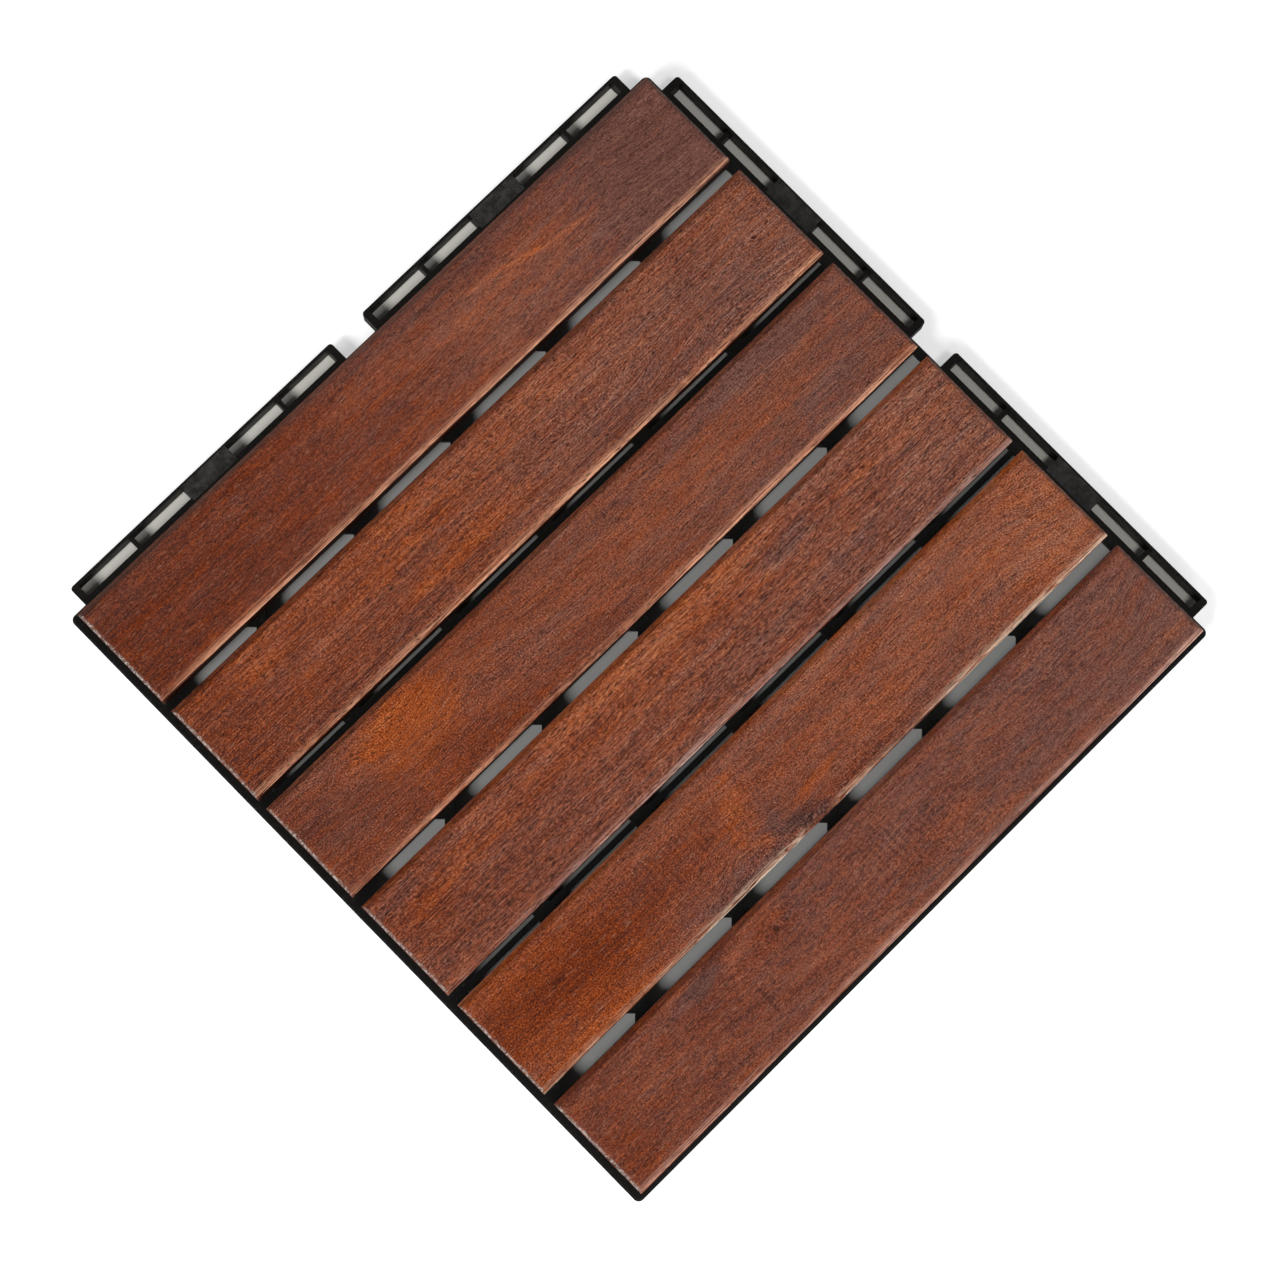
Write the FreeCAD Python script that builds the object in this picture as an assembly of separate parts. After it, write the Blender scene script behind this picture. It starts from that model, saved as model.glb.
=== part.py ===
import FreeCAD, Part
import os

from FreeCAD import Vector

# A deck tile: six wooden slats screwed from below to a moulded plastic base that clips to its neighbours.
# X runs along the slats, Y across them and Z up. The origin is on the ground under the middle of the base.
# The socket strips are on the +X and +Y sides, and the snap pegs hang under the -X and -Y edges.

# Layout: the pitch that the slats and the cells of the base share
module = 50.0
slat_count = 6
body_size = module * slat_count
body_half = body_size / 2
body_corner = 2.4
body_edge_bevel = 0.6

# Slats
slat_end_margin = 3.25
slat_gap = 4.8
slat_thick = 12.0
long_bevel = 2.2
end_bevel = 1.2
slat_length = body_size - 2 * slat_end_margin
slat_width = module - slat_gap

# Deck of the base and the walls under it
deck_top = 12.0
deck_thick = 2.2
deck_border = 4.0
deck_under = deck_top - deck_thick
skirt_wall = 1.6
rib_thick = 1.8
rib_drop = 2.2
drain_height = 1.5
foot_length = 12.0

# Openings of the deck, between the crosswise bars and the spines that take the screws
bar_width = 5.0
spine_width = 10.0
pointed_slot_half = 14.0
ribbed_bar_width = 8.0
ribbed_spine = 2.4

# Socket strips
strip_margin = 8.0
strip_headroom = 0.8
strip_lift = 0.8
strip_wall = 1.2
strip_end_wall = 3.0
strip_corner = 1.4
window_width = 5.4
ledge_width = 2.4
ledge_thick = 3.0
block_length = 22.6
block_roof = 2.0
divider_thick = 1.8
divider_drop = 1.5
strip_top = deck_under - strip_headroom
strip_depth = ledge_width + window_width + strip_wall
strip_length = body_half - 2 * strip_margin
window_length = (strip_length - block_length) / 4 - (strip_end_wall + divider_thick) / 2

# How a neighbour sits: the gap between two bodies, and the play at its strips
joined_gap = 1.5
strip_play = 0.5
skirt_inset = strip_depth - joined_gap + strip_play

# Snap pegs
peg_width = 18.0
peg_thick = 2.0
peg_play = 0.3
peg_catch = 0.9
peg_catch_height = 1.3
peg_taper = 0.5
peg_lift = 2.2

# Screws and the square pads that they are seated on
screws_from_end = 25.0
screw_radius = 1.5
screw_bite = 8.0
screw_play = 0.3
head_radius = 2.9
head_height = 1.8
pad_size = 9.0
pad_under = deck_under - rib_drop

# How far two numbers may differ and still be the same place
same = 1e-6


def box(x0, x1, y0, y1, z0, z1):
    return Part.makeBox(x1 - x0, y1 - y0, z1 - z0, Vector(x0, y0, z0))


def prism(points, direction):
    """A closed outline of (x, y, z) points, extruded along a vector."""
    corners = [Vector(*point) for point in points]
    return Part.Face(Part.makePolygon(corners + corners[:1])).extrude(direction)


def upright_edges(shape):
    return [edge for edge in shape.Edges if edge.BoundBox.XLength < same and edge.BoundBox.YLength < same]


def edges_at_height(shape, z):
    """The edges that lie flat in the plane at one height."""
    return [edge for edge in shape.Edges if max(abs(v.Z - z) for v in edge.Vertexes) < same]


def quarter_turn(shape):
    """A copy turned clockwise, which takes the +Y side to the +X side and -Y to -X."""
    turned = shape.copy()
    turned.rotate(Vector(0, 0, 0), Vector(0, 0, 1), -90)
    return turned


# Where the pieces of the pattern fall

def slat_rows():
    """The centre lines of the slats, from +Y to -Y."""
    return [body_half - module * (k + 0.5) for k in range(slat_count)]


def gap_rows():
    """The middles of the gaps between the slats, from +Y to -Y."""
    return [body_half - module * k for k in range(1, slat_count)]


def pointed_rows():
    """The gaps that have pointed slots under them: every second one, from the first."""
    return gap_rows()[0::2]


def spine_rows():
    """The gaps that have a thin spine under them: every second one, from the second."""
    return gap_rows()[1::2]


def cell_spans(bar):
    """The clear stretches between the crosswise bars, from the inset skirt to the wide border."""
    first = -body_half + skirt_inset + skirt_wall
    last = body_half - deck_border
    edges = [-body_half + module * k for k in range(1, slat_count)]
    starts = [first] + [edge + bar / 2 for edge in edges]
    ends = [edge - bar / 2 for edge in edges] + [last]
    return list(zip(starts, ends))


def screw_columns():
    """Where the screws lie along each slat: one near each end."""
    return (screws_from_end - body_half, body_half - screws_from_end)


def screw_places():
    return [(x, y) for y in slat_rows() for x in screw_columns()]


def window_centres():
    """The middles of the four windows of a strip, measured from the strip's middle."""
    inner = (block_length + window_length) / 2
    outer = inner + window_length + divider_thick
    return (-outer, -inner, inner, outer)


def strip_centres():
    return (-body_half / 2, body_half / 2)


# Slats

def pilot_hole(x, y):
    return Part.makeCylinder(screw_radius, screw_bite, Vector(x, y, deck_top))


def slat(y):
    """One slat: the planed section along X, cut to length with a small bevel across each end."""
    w, l, t = slat_width / 2, slat_length / 2, slat_thick
    section = [(-l, -w, 0), (-l, w, 0), (-l, w, t - long_bevel), (-l, w - long_bevel, t),
               (-l, long_bevel - w, t), (-l, -w, t - long_bevel)]
    side = [(-l, -w, 0), (l, -w, 0), (l, -w, t - end_bevel), (l - end_bevel, -w, t),
            (end_bevel - l, -w, t), (-l, -w, t - end_bevel)]
    plank = prism(section, Vector(slat_length, 0, 0)).common(prism(side, Vector(0, slat_width, 0)))
    plank.translate(Vector(0, y, deck_top))
    return plank.cut(Part.makeCompound([pilot_hole(x, y) for x in screw_columns()]))


# Screws

def screw(x, y):
    """A screw with its head seated under the pad and its shank up to the end of the pilot hole."""
    head = Part.makeCylinder(head_radius, head_height, Vector(x, y, pad_under - head_height))
    shank = Part.makeCylinder(screw_radius, deck_top + screw_bite - pad_under, Vector(x, y, pad_under))
    return head.fuse(shank)


# Deck of the base

def pointed_slots():
    """The slots with arrow-shaped ends, cut off square at both ends of a row."""
    spans = cell_spans(bar_width)
    h = pointed_slot_half
    slots = []
    for y in pointed_rows():
        for x0, x1 in spans:
            left = [(x0 + h, y - h), (x0, y), (x0 + h, y + h)]
            right = [(x1 - h, y + h), (x1, y), (x1 - h, y - h)]
            if (x0, x1) == spans[0]:
                left = [(x0, y - h), (x0, y + h)]
            if (x0, x1) == spans[-1]:
                right = [(x1, y + h), (x1, y - h)]
            outline = [(px, py, deck_under) for px, py in left + right]
            slots.append(prism(outline, Vector(0, 0, deck_thick)))
    return slots


def ribbed_slots():
    """The paired openings beside each thin spine."""
    near = ribbed_spine / 2
    far = (module - spine_width) / 2
    slots = []
    for y in spine_rows():
        for x0, x1 in cell_spans(ribbed_bar_width):
            slots.append(box(x0, x1, y - far, y - near, deck_under, deck_top))
            slots.append(box(x0, x1, y + near, y + far, deck_under, deck_top))
    return slots


def edge_slots():
    """The openings between the first slat's screw spine and the border."""
    y0, y1 = slat_rows()[0] + spine_width / 2, body_half - deck_border
    return [box(x0, x1, y0, y1, deck_under, deck_top) for x0, x1 in cell_spans(bar_width)]


def deck():
    plate = box(-body_half, body_half, -body_half, body_half, deck_under, deck_top)
    plate = plate.makeFillet(body_corner, upright_edges(plate))
    plate = plate.makeChamfer(body_edge_bevel, edges_at_height(plate, deck_top))
    return plate.cut(Part.makeCompound(pointed_slots() + ribbed_slots() + edge_slots()))


# Walls under the deck

def skirt():
    """The wall round the base, flush at the strips and set back where a neighbour's strips go."""
    low, high = -body_half + skirt_inset, body_half
    outer = box(low, high, low, high, 0, deck_under)
    flush_corner = [edge for edge in upright_edges(outer) if min(edge.Vertexes[0].X, edge.Vertexes[0].Y) > 0]
    outer = outer.makeFillet(body_corner, flush_corner)
    low, high = low + skirt_wall, high - skirt_wall
    return outer.cut(box(low, high, low, high, 0, deck_under))


def ribs():
    """Shallow ribs along under the thin spines, and standing ribs across under the bars."""
    low, high = -body_half + skirt_inset + skirt_wall, body_half - skirt_wall
    half = rib_thick / 2
    along = [box(low, high, y - half, y + half, deck_under - rib_drop, deck_under) for y in spine_rows()]
    across = [box(x - half, x + half, low, high, 0, deck_under) for x in gap_rows()]
    return along + across


def drains():
    """Low arches through the crosswise walls, between feet at the skirt and between the pointed slots."""
    steps = [body_half] + pointed_rows() + [-body_half + skirt_inset]
    half = foot_length / 2
    return [box(-body_half, body_half, b + half, a - half, 0, drain_height) for a, b in zip(steps, steps[1:])]


def pad(x, y):
    half = pad_size / 2
    return box(x - half, x + half, y - half, y + half, pad_under, deck_under)


def screw_hole(x, y):
    return Part.makeCylinder(screw_radius + screw_play, deck_top - pad_under, Vector(x, y, pad_under))


# Socket strips, built on the +Y side

def strip_window(x, y0):
    """One window and the narrower space under the ledge, where the catch of a peg comes to lie."""
    half = window_length / 2
    y1, y2 = y0 + ledge_width, y0 + ledge_width + window_width
    shaft = box(x - half, x + half, y1, y2, strip_lift, strip_top)
    return shaft.fuse(box(x - half, x + half, y0, y1, strip_lift, strip_top - ledge_thick))


def socket_strip(middle):
    """A strip with two pairs of windows, each pair parted by a low divider, about a cored block."""
    y0, y1 = body_half, body_half + strip_depth
    half = strip_length / 2
    body = box(middle - half, middle + half, y0 - strip_corner, y1, strip_lift, strip_top)
    outer_corners = [edge for edge in upright_edges(body) if edge.Vertexes[0].Y > y0]
    body = body.makeFillet(strip_corner, outer_corners)
    body = body.cut(box(middle - half, middle + half, y0 - strip_corner, y0, strip_lift, strip_top))
    core = block_length / 2 - strip_wall
    cuts = [strip_window(middle + x, y0) for x in window_centres()]
    cuts.append(box(middle - core, middle + core, y0, y1 - strip_wall, strip_lift, strip_top - block_roof))
    inner, outer = window_centres()[2:]
    for side in (-1, 1):
        x = middle + side * (inner + outer) / 2
        cuts.append(box(x - divider_thick / 2, x + divider_thick / 2, y0 + ledge_width, y1 - strip_wall,
                        strip_top - divider_drop, strip_top))
    return body.cut(Part.makeCompound(cuts))


# Snap pegs, built under the -Y edge

def snap_peg(x):
    """A tongue whose tapered tip slips through a window and whose catch springs under its ledge."""
    y_face = -body_half + ledge_width - joined_gap + peg_play
    y_back = y_face + peg_thick
    y_catch = y_face - peg_play - peg_catch
    z_catch = strip_top - ledge_thick - peg_play
    outline = [(y_face, deck_under), (y_back, deck_under), (y_back, peg_lift), (y_face + peg_taper, peg_lift),
               (y_catch, z_catch - peg_catch_height), (y_catch, z_catch), (y_face, z_catch)]
    points = [(x - peg_width / 2, y, z) for y, z in outline]
    return prism(points, Vector(peg_width, 0, 0))


def base():
    frame = skirt().fuse(ribs())
    frame = frame.cut(Part.makeCompound(drains()))
    strips = [socket_strip(middle) for middle in strip_centres()]
    pegs = [snap_peg(middle + x) for middle in strip_centres() for x in window_centres()]
    side_parts = strips + pegs
    turned_parts = [quarter_turn(part) for part in side_parts]
    pads = [pad(*place) for place in screw_places()]
    whole = deck().fuse([frame] + pads + side_parts + turned_parts)
    whole = whole.cut(Part.makeCompound([screw_hole(*place) for place in screw_places()]))
    return whole.removeSplitter()


def main():
    os.makedirs("parts", exist_ok=True)
    base().exportStep("parts/base.step")
    for number, y in enumerate(slat_rows(), start=1):
        slat(y).exportStep(f"parts/slat_{number}.step")
    Part.makeCompound([screw(*place) for place in screw_places()]).exportStep("parts/screws.step")


main()
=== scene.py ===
# %% [markdown]
# A wooden deck tile, dressed for its portrait
#
# The object is a square floor tile of 300 mm: six stained slats on a black moulded base with socket strips along
# two sides. The imported model holds every piece at its real size, and this script only gives the pieces their
# finish. It loads that model first, because everything below is placed by it.

# %% Load the frame
import math

import bpy
import numpy as np
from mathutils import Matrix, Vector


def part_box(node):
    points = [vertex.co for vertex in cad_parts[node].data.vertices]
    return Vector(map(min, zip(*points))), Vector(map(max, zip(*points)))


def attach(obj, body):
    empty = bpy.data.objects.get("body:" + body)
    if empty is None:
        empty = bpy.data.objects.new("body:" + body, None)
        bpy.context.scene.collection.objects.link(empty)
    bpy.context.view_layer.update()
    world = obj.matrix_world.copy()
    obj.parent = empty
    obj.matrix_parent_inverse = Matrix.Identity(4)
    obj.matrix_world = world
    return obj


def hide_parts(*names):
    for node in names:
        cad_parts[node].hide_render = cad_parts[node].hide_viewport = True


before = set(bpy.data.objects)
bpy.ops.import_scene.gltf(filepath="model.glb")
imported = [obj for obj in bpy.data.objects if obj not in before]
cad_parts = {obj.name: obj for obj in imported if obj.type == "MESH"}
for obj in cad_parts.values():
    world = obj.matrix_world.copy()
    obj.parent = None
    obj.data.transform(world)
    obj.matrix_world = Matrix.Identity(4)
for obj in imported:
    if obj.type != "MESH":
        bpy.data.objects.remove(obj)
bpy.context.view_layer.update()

MM = 0.001
print("pieces in the frame:", ", ".join(sorted(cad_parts)))

# %% [markdown]
# A few helpers serve the whole script. A colour is picked on a screen as a hex value in sRGB, and the renderer
# counts light, so one function turns the first into the second. A material is a graph of nodes, and one function
# adds a node with its settings and with links from earlier nodes, so that each material below reads as a list.
# What is the same all over a surface is a plain number on the shader's own socket.

# %% Colours, nodes and objects
def linear(code):
    """The linear red, green, blue and alpha of an sRGB hex colour: each channel is undone by the sRGB curve."""
    srgb = np.array([int(code[k:k + 2], 16) for k in (1, 3, 5)]) / 255
    light = np.where(srgb <= 0.04045, srgb / 12.92, ((srgb + 0.055) / 1.055) ** 2.4)
    return (*light.tolist(), 1.0)


def set_inputs(tree, node, inputs):
    """Fills the inputs of a node: an output is linked, a node stands for its first output, and a value is set."""
    for name, value in inputs.items():
        if isinstance(value, bpy.types.Node):
            value = value.outputs[0]
        if isinstance(value, bpy.types.NodeSocket):
            tree.links.new(value, node.inputs[name])
        else:
            node.inputs[name].default_value = value


def add(tree, kind, inputs=None, **settings):
    """Adds a node with its settings and its inputs."""
    node = tree.nodes.new(kind)
    for name, value in settings.items():
        setattr(node, name, value)
    set_inputs(tree, node, inputs or {})
    return node


def new_material(name):
    """A material with its node tree and its Principled shader."""
    material = bpy.data.materials.new(name)
    material.use_nodes = True
    return material, material.node_tree, material.node_tree.nodes["Principled BSDF"]


def in_scene(name, data):
    """A new object at the origin, linked into the scene."""
    thing = bpy.data.objects.new(name, data)
    bpy.context.scene.collection.objects.link(thing)
    return thing


print("terracotta in linear light:", [round(c, 3) for c in linear("#7B4431")])

# %% [markdown]
# Wood is never quite regular, so the planks need a source of gentle chance. Value noise is the simplest one:
# random numbers sit on the corners of a grid of squares, and a smooth curve eases from each to the next. It works
# on whole arrays, and a seed makes it give the same plank every time. A bell and a fade say where things are.

# %% Value noise, bells and fades
NOISE_TABLE = 64


def value_noise(x, y, seed):
    """Smooth random heights from 0 to 1, eased by 3t² - 2t³ between random numbers on the corners of unit squares."""
    table = np.random.default_rng(seed).random((NOISE_TABLE, NOISE_TABLE))
    i, j = np.floor(x).astype(int), np.floor(y).astype(int)
    a, b = x - i, y - j
    a, b = a * a * (3 - 2 * a), b * b * (3 - 2 * b)
    i0, j0 = i % NOISE_TABLE, j % NOISE_TABLE
    i1, j1 = (i + 1) % NOISE_TABLE, (j + 1) % NOISE_TABLE
    near = table[i0, j0] * (1 - a) + table[i1, j0] * a
    far = table[i0, j1] * (1 - a) + table[i1, j1] * a
    return near * (1 - b) + far * b


def bump(x, y, centre, reach):
    """A bell of height 1 at a centre that falls off as exp(-d²), with d measured in its two reaches."""
    return np.exp(-(((x - centre[0]) / reach[0]) ** 2 + ((y - centre[1]) / reach[1]) ** 2))


def fade(value, start, length):
    """0 up to a start, 1 from a length further on, and a straight line between."""
    return np.clip((value - start) / length, 0, 1)


print("noise at three places:", value_noise(np.array([0.2, 4.7, 9.1]), np.array([1.0, 2.5, 3.3]), 1).round(3))

# %% [markdown]
# Each slat is a planed plank of acacia: a flat top, a 2.2 mm bevel along both upper edges, and a small bevel
# across each end where it was cut to length. A bevelled box would do for the form, but its few corners could not
# carry grain, worn edges or knots. So the plank is one closed surface of two parameters: the outline of its
# section is carried along its length in rings a fraction of a millimetre apart, and each end closes on a pole.

# %% The outline of a plank's section
# A slat's nominal length, width and thickness in millimetres
LENGTH, WIDTH, THICK = 293.5, 45.2, 12
SECTION_BEVEL = 2.2
END_BEVEL = 1.2
ARRIS, FOOT_ARRIS, END_ARRIS = 0.35, 0.2, 0.15
ARC_STEPS = 3
# How many faces cross the foot, a side, a bevel, the top, the other bevel and the other side
OUTLINE_RUNS = (16, 8, 5, 60, 5, 8)


def rounded_outline(corners, radii, runs):
    """A closed outline with rounded corners, as an (n, 2) array.

    Each corner becomes a quadratic curve between two points that lie radius / tan(half the corner's angle) from
    it along its sides, and each side between two such curves is divided evenly into its number of runs."""
    corners, radii = np.array(corners, float), np.array(radii, float)
    back, ahead = np.roll(corners, 1, 0) - corners, np.roll(corners, -1, 0) - corners
    back /= np.linalg.norm(back, axis=1, keepdims=True)
    ahead /= np.linalg.norm(ahead, axis=1, keepdims=True)
    reach = (radii / np.tan(np.arccos((back * ahead).sum(1)) / 2))[:, None]
    starts, ends = corners + back * reach, corners + ahead * reach
    t = np.linspace(0, 1, ARC_STEPS + 1)[:, None]
    pieces = []
    for k, run in enumerate(runs):
        pieces.append((1 - t) ** 2 * starts[k] + 2 * t * (1 - t) * corners[k] + t ** 2 * ends[k])
        s = np.linspace(0, 1, run + 1)[1:-1, None]
        pieces.append(ends[k] * (1 - s) + starts[(k + 1) % len(runs)] * s)
    return np.concatenate(pieces)


def plank_outline(width, thick):
    """The plank's section in millimetres, anticlockwise seen from +X, with its foot at height 0."""
    w, t, b = width / 2, thick, SECTION_BEVEL
    corners = [(-w, 0), (w, 0), (w, t - b), (w - b, t), (b - w, t), (-w, t - b)]
    return rounded_outline(corners, [FOOT_ARRIS] * 2 + [ARRIS] * 4, OUTLINE_RUNS)


print("points round a section:", len(plank_outline(WIDTH, THICK)))

# %% [markdown]
# What makes one plank differ from the next is written down like a joiner's notes. Places are in millimetres from
# the plank's left end and from its far edge. Coarse, fine and rings say how strongly fibres, speckles and growth
# rings show, and pith is where the heart of the tree lay and how it drifts. Base is how much darker and how much
# warmer the whole plank is. The falloff says how much darker and warmer its left end is drawn than its right, which
# is painted light: the lamps' falloff and a cool sheen towards the right end. Rim says the same for its far bevel,
# which is painted shade. A patch has a centre, two reaches and a turn, and then its own darkness and warmth. Bare is
# the colour where the stain is thin, and also of the painted highlight on the near bevels. Swirls are areas where
# the grain runs at a slant, which shows as short slanted flecks. Figure is where the knives of the planer left faint
# waves across the plank. Knots push the grain aside.

# %% Notes on the six planks
PLANKS = {
    "slat_1": dict(
        seed=11, coarse=0.8, fine=0.85, rings=0.12, bare_and_highlight="#E2A684", pith=(26, -20, 0.070, 0.020), base=(0.70, 0.58),
        painted_falloff=(1.12, 0.33), rim=(1.1, -0.2),
        patches=[
            (175, 5, 62, 4.5, 0.0, 0.45, -0.35), (12, 6, 40, 7, 0.0, 0.0, -0.25), (150, 24, 45, 26, 0.0, -0.35, 0.0),
            (205, 24, 40, 13, 0.05, -0.8, -0.05), (240, 38, 50, 9, 0.0, 0.0, -0.25),
            (277, 22, 36, 60, 0.0, 0.5, -0.50), (212, 18, 32, 1.3, 0.21, -0.8, 0.45),
            (66, 10, 9, 3.5, 0.2, -0.6, -0.1), (67, 25, 8, 3, 0.2, -0.5, -0.15), (287, 9, 1.8, 1.2, 0.2, 1.6, -0.3)],
        swirls=[(268, 22, 26, 16, -0.22)], figure=[(110, 20, 30, 16, 0.3)], knots=[]),
    "slat_2": dict(
        seed=23, coarse=2.0, fine=1.4, rings=0.20, bare_and_highlight="#EDB08C", pith=(-34, -26, -0.060, 0.030), base=(0.03, 0.60),
        painted_falloff=(0.45, 0.22), rim=(0.9, 0.1),
        patches=[
            (70, 37, 72, 12, 0.0, 0.6, 0.05), (118, 31, 34, 5, 0.0, -0.6, 0.45), (4, 22, 20, 60, 0.0, 0.7, 0.1),
            (90, 12, 68, 11, 0.0, -0.3, 0.25), (195, 10, 75, 9, 0.0, -0.35, 0.0),
            (205, 40, 40, 4.5, -0.05, 0.7, -0.20), (235, 33, 55, 12, 0.0, 0.0, -0.22),
            (254, 15, 14, 7, 0.0, 0.55, -0.1), (192, 6, 12, 3, 0.1, 0.5, -0.1), (278, 22.7, 1.2, 0.9, 0.0, 2.0, 0.0)],
        swirls=[(225, 34, 40, 9, 0.18)], figure=[(110, 20, 45, 16, 0.3)], knots=[(278, 22.7, 0.7, 0.25)]),
    "slat_3": dict(
        seed=37, coarse=1.3, fine=1.45, rings=0.14, bare_and_highlight="#F0B08E", pith=(18, -28, 0.085, -0.030), base=(0.20, 0.56),
        painted_falloff=(0.30, 0.22), rim=(1.1, 0.1),
        patches=[
            (58, 13, 22, 13, 0.05, -0.55, 0.80), (15, 15, 20, 17, 0.0, 0.30, -0.15), (5, 30, 14, 30, 0.0, 0.5, 0.0),
            (80, 38, 62, 8, 0.0, 0.75, 0.15), (245, 8, 50, 7, 0.0, 0.1, -0.35), (190, 20, 50, 8, 0.0, -0.15, 0.15),
            (52, 36, 11, 8, 0.0, -0.6, 0.15), (264, 36, 36, 10, 0.0, 0.1, -0.25)],
        swirls=[(72, 15, 30, 10, 0.30), (27, 10, 9, 9, 0.4)], figure=[(140, 22, 40, 14, 0.2)], knots=[]),
    "slat_4": dict(
        seed=41, coarse=1.85, fine=1.2, rings=0.15, bare_and_highlight="#C4A398", pith=(-10, 31, 0.0, -0.105), base=(0.05, 0.53),
        painted_falloff=(0.65, 0.10), rim=(0.45, 0.5),
        patches=[
            (135, 5, 70, 5, 0.0, -1.0, 0.42), (14, 7, 26, 6, 0.0, 0.3, -0.05), (205, 14, 18, 4, 0.0, 0.2, -0.55),
            (120, 14, 120, 7, 0.0, -0.25, 0.28), (250, 30, 45, 4, 0.0, -0.4, 0.0),
            (235, 36, 75, 11, 0.0, 0.0, -0.18), (110, 42, 90, 4, 0.0, 0.3, -0.05), (16, 16, 12, 5, 0.0, -0.1, 0.25),
            (255, 6, 45, 4, 0.0, -0.5, 0.0)],
        swirls=[(120, 12, 24, 8, 0.10)], figure=[(60, 24, 30, 14, 0.2)], knots=[]),
    "slat_5": dict(
        seed=59, coarse=1.0, fine=1.4, rings=0.12, bare_and_highlight="#EACFB4", pith=(-22, -14, 0.055, 0.045), base=(0.08, 0.59),
        painted_falloff=(0.75, 0.05), rim=(0.25, 0.6),
        patches=[
            (46, 21, 75, 12, 0.0, 0.85, 0.30), (22, 24, 42, 30, 0.0, 0.0, 0.50), (35, 42, 48, 4, 0.0, -0.3, 0.35),
            (122, 24, 7, 17, 0.1, -0.6, 0.35), (131, 33, 11, 8, 0.9, 0.4, -0.55), (116, 41, 26, 6, 0.0, 0.15, -0.35),
            (141, 40.5, 8.5, 4.5, 0.1, 1.9, -0.45), (150, 33, 9, 3, 0.0, 0.0, 0.35),
            (110, 43, 18, 1.8, 0.0, 0.3, -0.8), (211, 6, 12, 4, -0.1, 0.7, -0.25), (200, 5, 60, 4, 0.0, -0.7, 0.0),
            (275, 25, 30, 20, 0.0, -0.5, 0.20), (33, 20, 3.2, 0.9, 0.1, 1.8, -0.1), (172, 41, 28, 4, 0.0, 0.6, 0.0)],
        swirls=[(275, 22, 34, 18, -0.30), (126, 30, 18, 12, -0.4)], figure=[(95, 18, 42, 14, 0.9)],
        knots=[(143.5, 43.5, 3.4, 0.45)]),
    "slat_6": dict(
        seed=73, coarse=0.8, fine=1.0, rings=0.18, bare_and_highlight="#D8AC9A", pith=(-4, 33, 0.0, -0.120), base=(0.38, 0.34),
        painted_falloff=(0.50, 0.32), rim=(0.7, 0.4),
        patches=[
            (68, 7, 10, 4, 0.0, 0.35, -0.75), (102, 8, 9, 6, 0.1, 0.0, 0.40),
            (102.4, 11.4, 1.7, 1.2, 0.0, 2.2, -0.2), (10, 34, 9, 12, 0.0, 0.3, 0.30),
            (105, 41, 75, 4, 0.0, -0.4, 0.05), (82, 29, 0.7, 7.5, 0.05, 1.2, 0.0), (80, 3.5, 6, 1.6, 0.0, 0.9, -0.1),
            (180, 30, 14, 5, 0.0, -0.1, 0.15)],
        swirls=[(205, 18, 45, 14, -0.16), (282, 18, 20, 14, 0.30)], figure=[(165, 20, 36, 15, 0.8)],
        knots=[(102.4, 11.4, 1.1, 0.5)]),
}
print("planks with notes:", len(PLANKS), "- knots:", sum(len(notes["knots"]) for notes in PLANKS.values()))

# %% [markdown]
# The notes turn into fields over the plank. The grain field gives every point its place along, across and deep in
# the fibres, so a pattern laid out on it follows the wood over the edges, leans in a swirl and parts round a knot
# as water parts round a post. The ring field is the distance from the tree's pith, which is why a plank cut at a
# slant shows the pointed arches of its growth rings. Working them out once, in numbers, keeps the material short.

# %% Fields of the wood
# Drifts of the pith and the painted falloff of light are counted from this place along the plank, in millimetres
PIVOT = 150
# A stream of fibres parts round a knot within this many radii
KNOT_ROOM = 2.2
# Noise pulls the edges of a patch this far about, and those of a patch shorter than this less
PULL_ALONG, PULL_ACROSS, SHORT_PATCH = 12, 2.4, 10


def grain_field(x, y, z, notes):
    """Where a point lies along, across and deep in the fibres.

    Across is y with a wander of 1 mm over 75 mm and of 0.2 mm over 21 mm, plus slope times distance inside each
    swirl, less the share R² / (R² + dx²/6 + dy²) of its distance from each knot, as a stream parts round a post."""
    seed = notes["seed"]
    across = y + 2.0 * (value_noise(x / 75, y / 30, seed) - 0.5) + 0.4 * (value_noise(x / 21, y / 9, seed + 1) - 0.5)
    for u, v, along, wide, slope in notes["swirls"]:
        across = across + slope * (x - u) * bump(x, y, (u, v), (along, wide))
    for u, v, radius, _ in notes["knots"]:
        room = (KNOT_ROOM * radius) ** 2
        across = across - (y - v) * room / (room + (x - u) ** 2 / 6 + (y - v) ** 2)
    return np.stack([x, across, z], -1)


def ring_field(x, y, z, notes):
    """The distance from the pith, a line that drifts sideways and in depth as it runs along the plank, plus a
    wander of up to 4 mm, because no trunk is quite round."""
    side, depth, side_drift, depth_drift = notes["pith"]
    seed = notes["seed"]
    dy = y - WIDTH / 2 - side - side_drift * (x - PIVOT)
    dz = z - depth - depth_drift * (x - PIVOT)
    wander = 3.5 * value_noise(x / 85, y / 22, seed + 2) + 0.5 * value_noise(x / 18, y / 7, seed + 3)
    return np.hypot(dy, dz) + wander


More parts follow.
